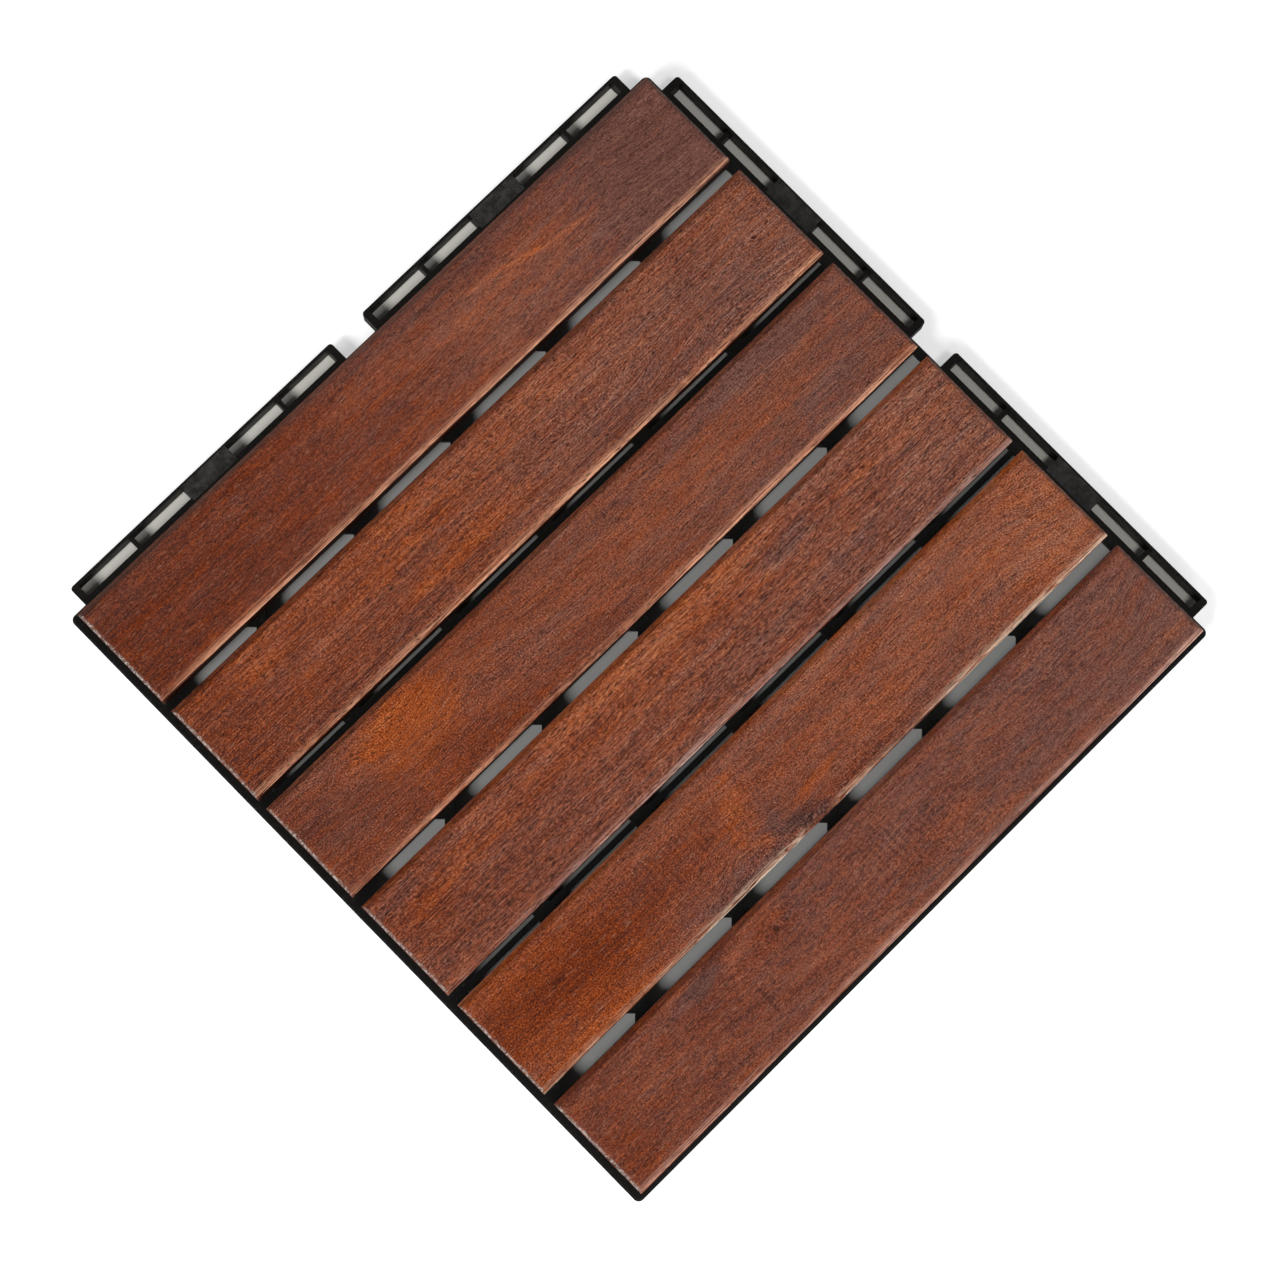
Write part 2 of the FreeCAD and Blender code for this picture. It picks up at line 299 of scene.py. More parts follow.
def tone_field(x, y, notes):
    """How much darker and how much warmer the wood is, as an (n, 2) array: base, the painted falloff of light and
    patches added up.

    A patch is exp(-d⁴) with d measured in its reaches, and noise pulls its edges about along the fibres."""
    seed = notes["seed"]
    pull_u = PULL_ALONG * (value_noise(x / 9, y / 2.2, seed + 4) - 0.5)
    pull_v = PULL_ACROSS * (value_noise(x / 26, y / 5, seed + 5) - 0.5)
    # Painted light: the left end is drawn darker and warmer and the right end lighter and cooler, as lamp falloff and
    # sheen
    tone = np.array(notes["base"]) + np.multiply.outer(1 - x / PIVOT, notes["painted_falloff"])
    for centre_u, centre_v, along, wide, turn, dark, warm in notes["patches"]:
        c, s = math.cos(turn), math.sin(turn)
        share = min(1.0, along / SHORT_PATCH)
        du, dv = x + pull_u * share - centre_u, y + pull_v * share - centre_v
        distance = np.hypot((du * c + dv * s) / along, (dv * c - du * s) / wide)
        tone = tone + np.multiply.outer(np.exp(-distance ** 4), (dark, warm))
    return tone


print("tone at the middle of slat_1:", tone_field(np.array([PIVOT]), np.array([WIDTH / 2]), PLANKS["slat_1"]).round(2))

# %% [markdown]
# The surface itself stays inside the planed form and only ever gives way to wear. The bevels wander a little in
# width, because a router follows a plank that isn't quite straight. The end bevels are ragged, because they cut
# across the fibres. The top has the slight waves of soft and hard wood, and a knot leaves a hollow.

# %% The surface of a plank
RING_STEP = 0.7
# Places of the rings on an end bevel, how far behind it the even run starts, and the rings that close the end
END_PLACES = np.array([0, END_ARRIS, 0.4, 0.7, 1.0, END_BEVEL, END_BEVEL + 0.25])
RUN_START = 0.6
CAP_SHARES = np.array([0.93, 0.8, 0.62, 0.44, 0.26, 0.1])
# What gives way, in millimetres at most: long bevels slowly and in ripples, end bevels in splinters and slowly,
# and soft wood between hard
ROUTER_WANDER, ROUTER_RIPPLE = 0.35, 0.12
END_SPLINTERS, END_WANDER = 0.55, 0.3
SOFT_WOOD = 0.07


def soft_min(a, b, radius):
    """The smaller of two heights, with the crease between them eased over a radius."""
    h = np.clip(0.5 + (b - a) / (2 * radius), 0, 1)
    return b * (1 - h) + a * h - radius * h * (1 - h)


def ring_places(length):
    """Places along the plank, close together where the ends are bevelled, each with its share of the section."""
    half = length / 2
    run = np.linspace(END_BEVEL + RUN_START, length - END_BEVEL - RUN_START, round(length / RING_STEP)) - half
    end = half - END_PLACES
    x = np.concatenate([-end, run, end[::-1]])
    caps = len(CAP_SHARES)
    share = np.concatenate([CAP_SHARES[::-1], np.ones(len(x)), CAP_SHARES])
    x = np.concatenate([np.full(caps, -half), x, np.full(caps, half)])
    return x, share


def plank_rings(length, width, thick, notes):
    """The plank as an (m, n, 3) array of rings in millimetres, centred in X and Y with its foot at height 0."""
    outline = plank_outline(width, thick)
    places, share = ring_places(length)
    half, w, seed = length / 2, width / 2, notes["seed"]
    x = np.broadcast_to(places[:, None], (len(places), len(outline))).copy()
    y = np.broadcast_to(outline[:, 0], x.shape).copy()
    z = np.broadcast_to(outline[:, 1], x.shape).copy()
    u, v = x + half, w - y
    # The router wanders over some 38 mm and ripples over 3 mm, and takes that much more off each long bevel
    extra = ROUTER_WANDER * value_noise(x / 38, np.sign(y) * 3 + 9, seed + 6)
    extra = extra + ROUTER_RIPPLE * value_noise(x / 3, y * 0 + 5, seed + 7)
    z = soft_min(z, thick + w - SECTION_BEVEL - np.abs(y) - extra, 0.12)
    # The ends' bevels cut across the fibres and break out in small steps
    ragged = END_SPLINTERS * value_noise(y / 1.1, np.sign(x) * 4 + 7, seed + 8) ** 2
    ragged = ragged + END_WANDER * value_noise(y / 6, x * 0, seed + 9)
    z = soft_min(z, thick - END_BEVEL + (half - np.abs(x)) - ragged, 0.15)
    # Soft and hard wood stand a few hundredths of a millimetre apart, and knots leave hollows
    above = fade(z - thick, -SECTION_BEVEL, SECTION_BEVEL)
    fibres = value_noise(u / 16, v / 1.5, seed + 10) * 0.6 + value_noise(u / 6, v / 0.75, seed + 11) * 0.4
    z = z - SOFT_WOOD * above * fibres
    for ku, kv, radius, depth in notes["knots"]:
        rough = 0.6 + 0.8 * value_noise(u / 1.2, v / 0.9, seed + 12)
        z = z - depth * above * rough * bump(u, v, (ku, kv), (1.5 * radius, radius))
    # The sides give way a little too, and the last ring is drawn in by the arris of the cut
    y = y * (1 - (1 - above) * 0.0016 * value_noise(x / 9, z / 1.6, seed + 13))
    inset = np.clip((np.abs(x) - half + END_ARRIS) / END_ARRIS, 0, 1) * END_ARRIS
    y, z = y * (1 - inset / w), thick / 2 + (z - thick / 2) * (1 - 2 * inset / thick)
    y, z = y * share[:, None], thick / 2 + (z - thick / 2) * share[:, None]
    return np.stack([x, y, z], -1)


print("rings along a plank:", len(ring_places(LENGTH)[0]))

# %% [markdown]
# A grid of rings becomes a mesh with one rule: each ring is joined to the next by quads, and the first and last
# ring close on a pole. The same function serves the planks and the screws. It writes whole arrays, and it checks
# its own work by summing the volume under every face, which is negative if the faces point inwards.

# %% Rings to a closed mesh
def ring_faces(m, n, start=0):
    """Quads between m rings of n points and fans to two poles, numbered from start with the poles last."""
    i, j = np.meshgrid(np.arange(m - 1), np.arange(n), indexing="ij")
    k = (j + 1) % n
    quads = np.stack([i * n + j, i * n + k, (i + 1) * n + k, (i + 1) * n + j], -1).reshape(-1, 4)
    j = np.arange(n)
    k = (j + 1) % n
    first = np.stack([np.full(n, m * n), k, j], -1)
    last = np.stack([np.full(n, m * n + 1), (m - 1) * n + j, (m - 1) * n + k], -1)
    return (quads[:, ::-1] + start).tolist(), (first[:, ::-1] + start).tolist() + (last[:, ::-1] + start).tolist()


def piece_from(name, points, faces):
    """A smooth object at the origin from points in metres, with every face turned outwards."""
    mesh = bpy.data.meshes.new(name)
    mesh.from_pydata(points.tolist(), [], faces)
    mesh.validate()
    mesh.polygons.foreach_set("use_smooth", np.ones(len(mesh.polygons), bool))
    mesh.calc_loop_triangles()
    corners = np.empty(3 * len(mesh.loop_triangles), int)
    mesh.loop_triangles.foreach_get("vertices", corners)
    a, b, c = points[corners.reshape(-1, 3)].transpose(1, 0, 2)
    volume = (a * np.cross(b, c)).sum() / 6
    if volume < 0:
        mesh.flip_normals()
    print(name, "triangles", len(mesh.loop_triangles), "volume in cm3", round(abs(volume) * 1e6, 1))
    return in_scene(name, mesh)


print("faces of three rings of four points:", sum(len(group) for group in ring_faces(3, 4)))

# %% [markdown]
# Each tool leaves its mark on a plank, and each mark is a field from 0 to 1, though three of them also carry painted
# light or shade. The edge field is partly where a router cut through the stain and partly a painted highlight: on the
# plane of a long bevel, weaker towards the top, hardly at all on the far side, which faces away from the lamps, and
# not round a knot. The sawn field is where the saw tore the fibres and dust stays, in a ragged line along the end
# bevels and only faintly on the end faces, and on the left ends, which face the left lamp, it is a painted highlight
# too. The side field is painted shade, where neighbours shade the planed sides.

# %% Marks of the tools, with painted light and shade
# Shares of a mark: thin stain and painted highlight on the far bevel, dust on the end faces, dust and painted
# highlight at the right end, and painted shade on outward faces
FAR_WEAR_AND_HIGHLIGHT, FACE_DUST, RIGHT_DUST_AND_HIGHLIGHT, OUTWARD_SHADE = 0.15, 0.10, 0.25, 0.55
# In millimetres: how far wear and its painted highlight reach from a bevel's plane and then fade, and how far under
# the bevel they start
WEAR_REACH, WEAR_FADE, UNDER_BEVEL = 0.15, 0.35, 0.3
# Share of the wear and its painted highlight that is lost towards the top of a bevel
TOP_LOSS = 0.8
# How ragged the sawn line is and over what it fades, and over what the painted shade on the sides fades, in millimetres
RAGGED, SAWN_FADE, SIDE_FADE = 0.5, 0.25, 0.4


def mark_fields(u, v, z, outward, size, notes):
    """Edge, sawn, side and figure fields, for places from the left end, the far edge and the foot.

    A point is on a long bevel's plane where its distances from side and top add up to the bevel's width."""
    length, width, thick = size
    from_side, from_end = np.minimum(v, width - v), np.minimum(u, length - u)
    # Partly a thin stain where the router cut and partly a painted highlight, on the plane of each long bevel
    worn_and_lit = 1 - fade(np.abs(from_side + thick - z - SECTION_BEVEL), WEAR_REACH, WEAR_FADE)
    worn_and_lit = worn_and_lit * (z > thick - SECTION_BEVEL - UNDER_BEVEL)
    worn_and_lit = worn_and_lit * (1 - TOP_LOSS * fade(z - thick, -SECTION_BEVEL, SECTION_BEVEL))
    for ku, kv, radius, _ in notes["knots"]:
        worn_and_lit = worn_and_lit * (1 - bump(u, v, (ku, kv), (KNOT_ROOM * radius, KNOT_ROOM * radius))) ** 2
    # The sawn line holds dust, and on the left ends it is also a painted highlight
    ragged = RAGGED * value_noise(v / 0.8, u * 0 + 3, notes["seed"] + 14)
    sawn = 1 - fade(from_end - END_BEVEL / 2, ragged, SAWN_FADE)
    sawn = sawn * np.where(z > thick - END_BEVEL - 0.2, 1.0, FACE_DUST)
    # Painted shade on the planed sides below the bevels
    side = fade(thick - SECTION_BEVEL - 0.1, z, SIDE_FADE)
    # The far bevels and the right ends face away from the lamps and get less painted highlight; outward sides and end
    # faces get less painted shade
    return {"edge": worn_and_lit * np.where(v > width / 2, 1.0, FAR_WEAR_AND_HIGHLIGHT),
            "sawn": sawn * np.where(u < length / 2, 1.0, RIGHT_DUST_AND_HIGHLIGHT),
            "side": side * np.where(outward | (from_end < 0.3), OUTWARD_SHADE, 1.0),
            "figure": sum(f[4] * bump(u, v, f[:2], f[2:4]) for f in notes["figure"])}


sample = mark_fields(150.0, WIDTH - 1.1, THICK - 1.1, False, (LENGTH, WIDTH, THICK), PLANKS["slat_1"])
print("marks halfway along a near bevel:", {name: round(float(value), 2) for name, value in sample.items()})

# %% [markdown]
# Each plank has two pilot holes drilled from below, so that the screws don't split it. A hole in a dense grid of
# faces could be left to a dark patch, but it should be real from underneath. So a boolean takes a cutter of plain
# rods away from the plank, and the result is kept as a plain mesh.

# %% Pilot holes
SCREW_RADIUS = 1.5
SCREW_BITE = 8.0
HEAD_RADIUS = 2.9
DRILL_SIDES = 32
screw_low, screw_high = (np.array(corner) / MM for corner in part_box("screws"))
SCREW_COLUMNS = (screw_low[0] + HEAD_RADIUS, screw_high[0] - HEAD_RADIUS)


def drilled(piece, places, radius, foot, depth):
    """The piece's mesh with round holes cut upwards from its foot, by one boolean with a cutter of plain rods."""
    turn = np.arange(DRILL_SIDES) / DRILL_SIDES * 2 * math.pi
    circle = np.stack([np.cos(turn), np.sin(turn)], -1) * radius
    points, faces = [], []
    for x, y in places:
        rod = [np.column_stack([circle + (x, y), np.full(DRILL_SIDES, z)]) for z in (foot - 1, foot + depth)]
        poles = np.array([(x, y, foot - 1), (x, y, foot + depth)])
        quads, fans = ring_faces(2, DRILL_SIDES, sum(len(p) for p in points))
        points.append(np.concatenate(rod + [poles]))
        faces += quads + fans
    cutter = piece_from("drill", np.concatenate(points) * MM, faces)
    cut = piece.modifiers.new("pilot_holes", "BOOLEAN")
    cut.object, cut.operation, cut.solver = cutter, "DIFFERENCE", "EXACT"
    seen = piece.evaluated_get(bpy.context.evaluated_depsgraph_get())
    mesh = bpy.data.meshes.new_from_object(seen)
    piece.modifiers.clear()
    bpy.data.objects.remove(cutter)
    return mesh


print("screws stand at x in mm:", [round(float(x), 1) for x in SCREW_COLUMNS])

# %% [markdown]
# The planks are placed by the boxes of the imported slats. The fields could be worked out again in the material, but
# numbers written once for every point of the mesh are simpler, and they stay with the wood when a plank moves. So
# they ride on the mesh as attributes.

# %% The six planks
# Sides further out than this face away from the tile, and the painted shade of the far bevel fades over this, in
# millimetres
OUTER_ROW, FAR_SHADE_FADE = 146, 0.4


def give(mesh, name, kind, values):
    """Writes one attribute for every point of a mesh."""
    field = "vector" if kind == "FLOAT_VECTOR" else "value"
    mesh.attributes.new(name, kind, "POINT").data.foreach_set(field, np.ascontiguousarray(values, np.float32).ravel())


def plank(node, notes):
    """One finished plank in place of a packed slat."""
    low, high = (np.array(corner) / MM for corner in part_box(node))
    length, width, thick = size = high - low
    centre = np.array([(low[0] + high[0]) / 2, (low[1] + high[1]) / 2, low[2]])
    rings = plank_rings(length, width, thick, notes)
    poles = np.array([rings[0].mean(0), rings[-1].mean(0)])
    local = np.concatenate([rings.reshape(-1, 3), poles])
    quads, fans = ring_faces(*rings.shape[:2])
    piece = piece_from(f"{node}_acacia", (local + centre) * MM, quads + fans)
    u, v, z = local[:, 0] + length / 2, width / 2 - local[:, 1], local[:, 2]
    # Painted shade: the bevel along the far edge faces away from the lamps, so it is drawn darker, with its warmth
    # shifted too
    rim = np.clip((SECTION_BEVEL - v) / FAR_SHADE_FADE + 0.5, 0, 1) * (z > thick - SECTION_BEVEL - UNDER_BEVEL)
    tone = tone_field(u, v, notes) + np.multiply.outer(rim, notes["rim"])
    outward = np.abs(local[:, 1] + centre[1]) > OUTER_ROW
    fields = {"ring": ring_field(u, v, z, notes), "dark": tone[:, 0], "warm": tone[:, 1],
              **mark_fields(u, v, z, outward, size, notes)}
    give(piece.data, "grain", "FLOAT_VECTOR", grain_field(u, v, z, notes))
    for name, values in fields.items():
        give(piece.data, name, "FLOAT", values)
    places = [(x, centre[1]) for x in SCREW_COLUMNS]
    piece.data = drilled(piece, places, SCREW_RADIUS, low[2], SCREW_BITE)
    piece.data.name = piece.name
    return piece


planks = {node: plank(node, notes) for node, notes in PLANKS.items()}
print("attributes:", ", ".join(a.name for a in planks["slat_1"].data.attributes if not a.name.startswith(".")))

# %% [markdown]
# Acacia with a red-brown oil stain is an open-pored hardwood. Its pattern is made of layers of noise, stretched
# along the fibres by scaling the grain field, in features per millimetre. Some layers only show where they peak:
# the pores, a few pale flecks, the fibres where a bevel's stain is thin and where its painted highlight lies, and
# the torn fibres of a sawn end. Pores are really 0.1 to 0.2 mm wide and are drawn at 0.3 mm, because finer ones
# would vanish at this distance.

# %% Layers of the wood's pattern
# For each layer: features per millimetre along, across and deep, then detail and roughness of the noise
WOOD_LAYERS = {
    "drift": ((0.012, 0.09, 0.09), 3.0, 0.55),
    "hue": ((0.020, 0.16, 0.16), 4.0, 0.6),
    "mottle": ((0.16, 0.55, 0.55), 3.0, 0.65),
    "streak": ((0.030, 0.8, 0.8), 3.0, 0.6),
    "fibre": ((0.045, 3.2, 3.2), 3.0, 0.70),
    "speckle": ((1.5, 2.7, 2.7), 1.0, 0.5),
    "line": ((0.022, 1.9, 1.9), 2.0, 0.55),
    "pore": ((0.32, 2.8, 2.8), 1.0, 0.5),
    "fleck": ((0.22, 1.9, 1.9), 1.0, 0.5),
    "figure": ((0.10, 0.16, 0.16), 1.0, 0.5),
    "saw": ((1.3, 1.5, 0.6), 3.0, 0.6),
}
# The noise at which a layer that only shows in marks begins to show, and shows in full
MARK_LEVELS = {"pore": (0.58, 0.655), "fleck": (0.64, 0.76), "line": (0.44, 0.53), "saw": (0.44, 0.62)}
RINGS_PER_MM = 0.42
KNIFE_PITCH = 2.9
# Every plank and every layer reads a part of the noise of its own, this far from the last
LAYER_STEP, PLANK_STEP = 7.3, 0.37


def wood_pattern(tree, notes):
    """Two tables of sockets: the plank's own fields, and the layers of noise laid out on its grain.

    A mark climbs from 0 to 1 between its levels, and the planer's waves are sin(2πx / pitch) times slow noise."""
    seed = float(notes["seed"])
    grain = add(tree, "ShaderNodeAttribute", attribute_name="grain").outputs["Vector"]
    own = {name: add(tree, "ShaderNodeAttribute", attribute_name=name).outputs["Fac"]
           for name in ("ring", "dark", "warm", "edge", "sawn", "side", "figure")}
    layers = {}
    for step, (name, (scale, detail, roughness)) in enumerate(WOOD_LAYERS.items()):
        place = add(tree, "ShaderNodeMapping", {"Vector": grain, "Scale": scale,
                                                "Location": (seed, LAYER_STEP * step, seed * PLANK_STEP)})
        layers[name] = add(tree, "ShaderNodeTexNoise", {"Vector": place, "Scale": 1.0, "Detail": detail,
                                                        "Roughness": roughness})
    for name, (start, full) in MARK_LEVELS.items():
        layers[name] = add(tree, "ShaderNodeMapRange", {"Value": layers[name], "From Min": start, "From Max": full})
    for name, field in (("line", "edge"), ("saw", "sawn")):
        layers[name] = add(tree, "ShaderNodeMath", {0: layers[name], 1: own[field]}, operation="MULTIPLY")
    layers["growth"] = add(tree, "ShaderNodeTexNoise", {"W": own["ring"], "Scale": RINGS_PER_MM, "Detail": 3.0,
                                                        "Roughness": 0.6}, noise_dimensions="1D")
    along = add(tree, "ShaderNodeSeparateXYZ", {0: grain}).outputs["X"]
    wave = add(tree, "ShaderNodeMath", {0: along, 1: 2 * math.pi / KNIFE_PITCH}, operation="MULTIPLY")
    wave = add(tree, "ShaderNodeMath", {0: wave}, operation="SINE")
    for share in (layers["figure"], own["figure"]):
        wave = add(tree, "ShaderNodeMath", {0: wave, 1: share}, operation="MULTIPLY")
    layers["wave"] = wave
    return own, layers


print("wood layers:", ", ".join(WOOD_LAYERS))

# %% [markdown]
# The colour is built the way the wood takes a stain, which sinks deep into the soft bands and the pores, and stays
# thin on the hard ones and where a router has just cut. One number says how light the wood is: the layers swing
# it about the middle, and the notes' darkness pulls it down. A second number says how warm it is, and mixes a cool
# ramp of colours with a warm one. Then come the coats: what lies over that colour only in its own places, among them
# painted highlights on the near bevels and the left ends, and painted shade on the sides.

# %% The stain's colours
RAMP_PLACES = (0.08, 0.30, 0.50, 0.70, 0.95)
COOL_RAMP = ["#230F0A", "#50302A", "#70453A", "#885C4E", "#AC8878"]
WARM_RAMP = ["#2E0E05", "#622912", "#873F20", "#A65C38", "#C4835A"]
DARK_SWING, WAVE_SWING, WARM_SWING = -0.11, 0.10, 1.5
# The deepest orange lies a little beyond the warm ramp, so the mix may run past it
LEAST_WARM, MOST_WARM = -0.05, 1.35


def stain_colour(tree, own, layers, notes):
    """The colour of the stained wood: light is 0.5 + the sum of swing * (layer - 0.5), less the plank's darkness,
    and warm is the plank's warmth with the same kind of swings."""
    coarse = notes["coarse"]
    swings = {"drift": 0.24, "growth": notes["rings"], "mottle": 0.14, "streak": 0.16, "fibre": 0.66 * coarse,
              "speckle": 1.05 * notes["fine"]}
    light = 0.5 - sum(swings.values()) / 2
    terms = [(own["dark"], DARK_SWING), (layers["wave"], WAVE_SWING)]
    for value, swing in terms + [(layers[name], swing) for name, swing in swings.items()]:
        light = add(tree, "ShaderNodeMath", {0: value, 1: swing, 2: light}, operation="MULTIPLY_ADD")
    warm = own["warm"]
    for name in ("hue", "mottle"):
        warm = add(tree, "ShaderNodeMath", {0: warm, 1: WARM_SWING / 2}, operation="SUBTRACT")
        warm = add(tree, "ShaderNodeMath", {0: layers[name], 1: WARM_SWING, 2: warm}, operation="MULTIPLY_ADD")
    warm = add(tree, "ShaderNodeClamp", {"Value": warm, "Min": LEAST_WARM, "Max": MOST_WARM})
    ramps = []
    for codes in (COOL_RAMP, WARM_RAMP):
        ramp = add(tree, "ShaderNodeValToRGB", {0: light})
        stops = ramp.color_ramp.elements
        stops[0].position, stops[1].position = RAMP_PLACES[0], RAMP_PLACES[-1]
        stops[0].color, stops[1].color = linear(codes[0]), linear(codes[-1])
        for place, code in zip(RAMP_PLACES[1:-1], codes[1:-1]):
            stops.new(place).color = linear(code)
        ramps.append(ramp)
    colour = add(tree, "ShaderNodeMix", {0: warm, 6: ramps[0], 7: ramps[1]}, data_type="RGBA",
                 clamp_factor=False).outputs[2]
    coats = ((layers["line"], 0.95, notes["bare_and_highlight"]),  # the thin stain of the routed bevels, with a painted highlight
             (layers["pore"], 0.38 + 0.28 * coarse, "#26110B"),  # stain that gathers in the pores
             (layers["fleck"], 0.28, "#B58A72"),  # pale fibres left bare
             (own["side"], 0.85, "#1E0C06"),  # painted shade on the planed sides between the slats
             (own["sawn"], 0.85, "#5A4842"),  # grey dust on the sawn ends, and a painted highlight on the left ends
             (layers["saw"], 1.0, "#B4A69E"))  # paler torn fibres in the dust and the painted highlight
    for where, strength, code in coats:
        share = add(tree, "ShaderNodeMath", {0: where, 1: strength}, operation="MULTIPLY")
        colour = add(tree, "ShaderNodeMix", {0: share, 6: colour, 7: linear(code)}, data_type="RGBA").outputs[2]
    return colour


print("ramps from", COOL_RAMP[0], "to", COOL_RAMP[-1], "and from", WARM_RAMP[0], "to", WARM_RAMP[-1])

# %% [markdown]
# An oil stain leaves the surface matt and open, so the layers of the pattern can be felt as well as seen: fibres
# stand proud, pores are cut into them, and the sawn ends are rough. A bump of a tenth of a millimetre gives that
# relief from the same layers. Each plank gets a material of its own, because no two boards in a tile are alike.

# %% Stained acacia
MATT_FROM, MATT_TO = 0.44, 0.62


def stained_acacia(name, notes):
    """Planed acacia under a matt red-brown oil stain, with fibres as coarse and warm as the plank's notes say."""
    material, tree, shader = new_material(name)
    own, layers = wood_pattern(tree, notes)
    relief = 0.0
    for layer, height in (("fibre", 0.9), ("pore", -0.55), ("saw", 0.8)):
        relief = add(tree, "ShaderNodeMath", {0: layers[layer], 1: height, 2: relief}, operation="MULTIPLY_ADD")
    normal = add(tree, "ShaderNodeBump", {"Strength": 0.55, "Distance": 0.12 * MM, "Height": relief})
    rough = add(tree, "ShaderNodeMapRange", {"Value": layers["streak"], "To Min": MATT_FROM, "To Max": MATT_TO})
    set_inputs(tree, shader, {"Base Color": stain_colour(tree, own, layers, notes), "Roughness": rough,
                              "Normal": normal, "IOR": 1.45, "Specular IOR Level": 0.12})
    return material


for node, piece in planks.items():
    piece.data.materials.clear()
    piece.data.materials.append(stained_acacia(f"oil_stained_acacia_{node}", PLANKS[node]))
    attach(piece, "root")
    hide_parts(node)
print("nodes in one plank's material:", len(planks["slat_1"].data.materials[0].node_tree.nodes))

# %% [markdown]
# The slats are held by twelve pan-head screws driven from below. Seen from underneath, each shows a low domed
# head with a cross recess. The body of a screw is a surface of revolution whose radius also depends on the turn:
# the thread is a tooth that climbs one pitch for each turn, and the recess is four arms pressed into the face of
# the head. It is one grid of rings from the pole in the recess to the pole at the point.

# %% One screw as a surface
HEAD_HEIGHT = 1.8
FACE_SHARE, DOME_HEIGHT, RIM_HEIGHT = 0.72, 0.35, 0.75
SHANK_PLAIN = 4.4
CORE_RADIUS = 1.05
THREAD_PITCH, THREAD_RINGS = 1.3, 68
POINT_LENGTH = 3.0
RECESS_REACH, RECESS_DEPTH, RECESS_SLOPE = 1.85, 1.1, 0.45
ARM_HALF, ARM_SLOPE = 0.62, 0.22
SCREW_SIDES = 48


def screw_rings(length):
    """A screw along +Z with the face of its head at 0, as an (m, n, 3) array in millimetres.

    Radius and height follow a path: out over the face, round a rim of quarter-ellipse section, in under the head
    and up the shank. On the threaded stretch the radius is core + tooth, with tooth a triangle wave of
    height / pitch - turn, and near the point everything shrinks in a straight line."""
    face = np.linspace(0.08, FACE_SHARE, 13) * HEAD_RADIUS
    arc = np.linspace(0, math.pi / 2, 7)[1:]
    rim = HEAD_RADIUS * (FACE_SHARE + (1 - FACE_SHARE) * np.sin(arc))
    radius = np.concatenate([face, rim, [HEAD_RADIUS, SCREW_RADIUS, SCREW_RADIUS], np.full(THREAD_RINGS, SCREW_RADIUS)])
    dome = DOME_HEIGHT * (face / HEAD_RADIUS) ** 2
    shank = np.linspace(HEAD_HEIGHT + SHANK_PLAIN, length - 0.05, THREAD_RINGS)
    height = np.concatenate([dome, dome[-1] + RIM_HEIGHT * (1 - np.cos(arc)),
                             [HEAD_HEIGHT, HEAD_HEIGHT, HEAD_HEIGHT + 0.5], shank])
    turn = np.arange(SCREW_SIDES) / SCREW_SIDES * 2 * math.pi
    r, t = np.meshgrid(radius, turn, indexing="ij")
    h = np.broadcast_to(height[:, None], r.shape).copy()
    phase = (h / THREAD_PITCH - t / (2 * math.pi)) % 1
    tooth = np.clip(1 - np.abs(phase - 0.5) / 0.28, 0, 1)
    on_shank = h > HEAD_HEIGHT + 1
    threaded = fade(h - HEAD_HEIGHT, SHANK_PLAIN, 0.8) * on_shank
    r = r * (1 - threaded) + (CORE_RADIUS + (SCREW_RADIUS - CORE_RADIUS) * tooth) * threaded
    r = r * np.where(on_shank, np.clip((length - h) / POINT_LENGTH, 0.02, 1), 1)
    on_face = np.arange(len(radius))[:, None] < len(face)
    arm = np.minimum(np.abs(r * np.cos(t)), np.abs(r * np.sin(t)))
    wide = fade(ARM_HALF, arm, ARM_SLOPE)
    deep = fade(RECESS_REACH, r, RECESS_SLOPE)
    h = h + on_face * wide * deep * RECESS_DEPTH * (1 - 0.3 * r / RECESS_REACH)
    return np.stack([r * np.cos(t), r * np.sin(t), h], -1)


print("rings of a screw and points in each:", screw_rings(screw_high[2] - screw_low[2]).shape[:2])

# %% [markdown]
# One screw serves for all twelve: its points are turned and moved to each place, and the copies share one mesh, as
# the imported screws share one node. Nobody lines up the recesses of screws, so each is turned on from the last.

# %% The twelve screws
SCREW_TURN = 2.4


def screw_set():
    """All the screws as one piece: one screw's rings, moved to each place and turned a little differently."""
    length = screw_high[2] - screw_low[2]
    rings = screw_rings(length)
    poles = np.array([[0, 0, RECESS_DEPTH], [0, 0, length]])
    one = np.concatenate([rings.reshape(-1, 3), poles])
    rows = [sum(corner[1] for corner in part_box(node)) / 2 / MM for node in PLANKS]
    points, faces = [], []
    for number, (x, y) in enumerate((x, y) for y in rows for x in SCREW_COLUMNS):
        angle = SCREW_TURN * number
        spin = np.array([[math.cos(angle), math.sin(angle), 0], [-math.sin(angle), math.cos(angle), 0], [0, 0, 1]])
        quads, fans = ring_faces(*rings.shape[:2], start=number * len(one))
        points.append(one @ spin + (x, y, screw_low[2]))
        faces += quads + fans
    return piece_from("slat_screws", np.concatenate(points) * MM, faces)


screws = screw_set()

# %% [markdown]
# The screws are cold-formed stainless steel: dies squeeze a wire into their shape, which leaves the metal bright,
# with a shine that the dies' faint marks soften. So it is a plain metal whose roughness and relief follow a fine
# noise, with features of about a millimetre.

